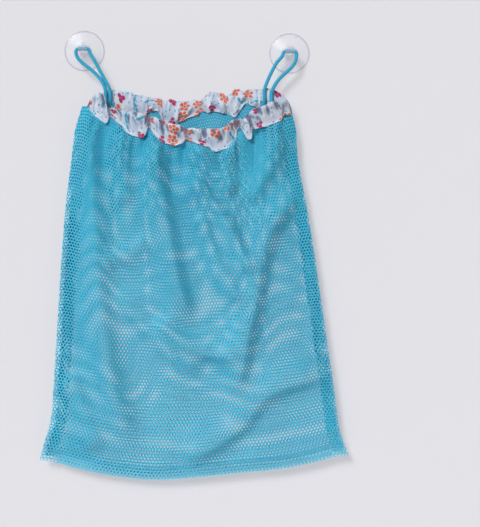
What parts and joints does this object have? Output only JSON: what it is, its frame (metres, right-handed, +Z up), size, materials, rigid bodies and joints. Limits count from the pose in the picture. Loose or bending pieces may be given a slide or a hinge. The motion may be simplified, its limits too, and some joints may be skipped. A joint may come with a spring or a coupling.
{
  "type": "hanging mesh bath toy bag",
  "caption": "Tapered mesh bag with a ruffled drawcord mouth, hung on a wall from suction cups by loops of its cord, for bath toys to drain in.",
  "frame": {"origin": "on the wall, midway between the centres of the two suction cups", "axes": "+Z up along the wall, +Y into the wall (the way the cups press), +X to the right as seen from the room"},
  "size_m": [0.3055, 0.038, 0.446],
  "materials": {
    "clear_pvc": "clear flexible PVC, smooth and glossy",
    "elastic_cord": "round braided elastic cord",
    "printed_cotton": "white woven strip with a small scattered print",
    "mesh_net": "knitted polyester net with small hexagonal holes"
  },
  "bodies": {
    "left_cup": {"left_suction_cup": "clear_pvc"},
    "left_loop": {"left_hanging_loop": "elastic_cord"},
    "bag": {"back_mesh_panel": "mesh_net", "back_casing": "printed_cotton", "back_drawcord": "elastic_cord", "left_side_seam": "mesh_net", "right_side_seam": "mesh_net", "bottom_seam": "mesh_net"},
    "bag_front": {"front_mesh_panel": "mesh_net", "front_casing": "printed_cotton", "front_drawcord": "elastic_cord"},
    "right_loop": {"right_hanging_loop": "elastic_cord"},
    "right_cup": {"right_suction_cup": "clear_pvc"}
  },
  "joints": [
    {"name": "left_loop_swing", "type": "hinge", "parent": "left_cup", "child": "left_loop", "pos_m": [-0.1024, -0.0135, 0.00125], "axis": [-0.9999, 0, 0.0122], "range_deg": [0, 70]},
    {"name": "bag_swing", "type": "hinge", "parent": "left_loop", "child": "bag", "pos_m": [-0.07695, -0.0135, -0.04406], "axis": [-0.9999, 0, 0.0122], "range_deg": [-1, 45]},
    {"name": "right_loop_swing", "type": "hinge", "parent": "bag", "child": "right_loop", "pos_m": [0.0806, -0.0135, -0.04598], "axis": [-0.9999, 0, 0.0122], "range_deg": [-45, 1]},
    {"name": "right_cup_swing", "type": "hinge", "parent": "right_loop", "child": "right_cup", "pos_m": [0.1024, -0.0135, -0.00125], "axis": [-0.9999, 0, 0.0122], "range_deg": [-70, 0]},
    {"name": "mouth_open", "type": "hinge", "parent": "bag", "child": "bag_front", "pos_m": [0.0081, -0.0148, -0.4255], "axis": [1, 0, 0], "range_deg": [0, 8], "stiffness_Nm_per_rad": 4, "springref_deg": -0.29}
  ],
  "couplings": [
    {"joint": "right_loop_swing", "follows": "bag_swing", "ratio": -1},
    {"joint": "right_cup_swing", "follows": "left_loop_swing", "ratio": -1}
  ]
}
